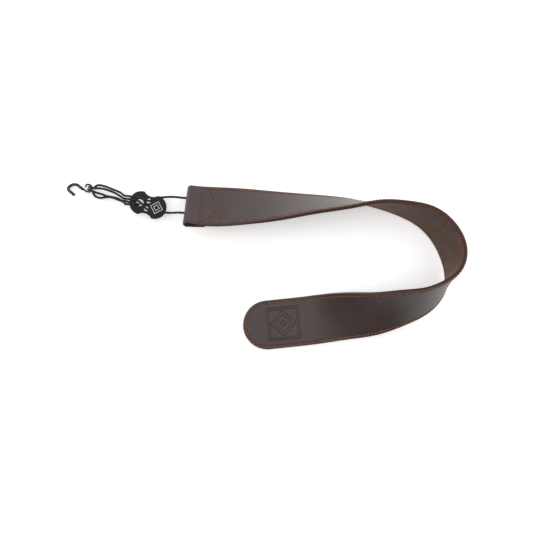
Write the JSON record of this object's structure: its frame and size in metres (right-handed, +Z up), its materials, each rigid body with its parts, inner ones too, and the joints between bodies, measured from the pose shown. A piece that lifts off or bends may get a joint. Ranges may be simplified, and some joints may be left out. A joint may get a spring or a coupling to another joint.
{
  "type": "leather carrying strap",
  "caption": "Wide sewn leather strap with a round tail and a folded end that holds an adjustable cord, a figure-of-eight slider plate and a coated wire hook.",
  "frame": {"origin": "centre of the tail's round end, on the surface that the strap lies on", "axes": "+Z up from that surface, +X along the strap's two legs towards its bend, so the hook is at -X; +Y from the tail's leg towards the folded end's leg"},
  "size_m": [0.3949, 0.1707, 0.0573],
  "materials": {
    "grain_leather": "dark brown smooth grain leather with a soft satin sheen",
    "suede_leather": "brown suede side, matt",
    "thread": "waxed red-brown sewing thread",
    "cord": "black braided cord",
    "slider_plastic": "black satin plastic",
    "silver_print": "silver print",
    "hook_coating": "black soft plastic coating",
    "black_wire": "black lacquered wire",
    "splice_metal": "plain crimped metal sleeve"
  },
  "bodies": {
    "strap": {"strap_face": "grain_leather", "strap_lining": "suede_leather", "rim_top_thread": "thread", "rim_bobbin_thread": "thread", "bar_top_thread": "thread", "bar_bobbin_thread": "thread", "arc_top_thread": "thread", "arc_bobbin_thread": "thread", "cord_splice": "splice_metal", "cord_strap_loop": "cord"},
    "slider": {"slider_plate": "slider_plastic", "slider_emblem": "silver_print", "cord_over_upper": "cord", "cord_over_lower": "cord", "cord_rim_bight": "cord"},
    "hook_loop": {"hook_bight_upper": "cord", "hook_bight_lower": "cord"},
    "hook": {"hook_sleeve": "hook_coating", "hook_wire": "black_wire"}
  },
  "joints": [
    {"name": "slider_travel", "type": "slide", "parent": "strap", "child": "slider", "axis": [1, 0, 0], "range_m": [-0.03, 0.014], "deforming": ["cord_strap_loop"]},
    {"name": "loop_take_up", "type": "slide", "parent": "slider", "child": "hook_loop", "axis": [-0.9558, 0.2939, 0], "range_m": [-0.015, 0.007], "deforming": ["hook_bight_upper", "hook_bight_lower"]},
    {"name": "hook_pivot", "type": "hinge", "parent": "hook_loop", "child": "hook", "pos_m": [-0.1808, 0.1394, 0.0036], "axis": [0.2939, 0.9558, 0], "range_deg": [-75, 75]}
  ],
  "couplings": [
    {"joint": "loop_take_up", "follows": "slider_travel", "ratio": 0.5}
  ]
}
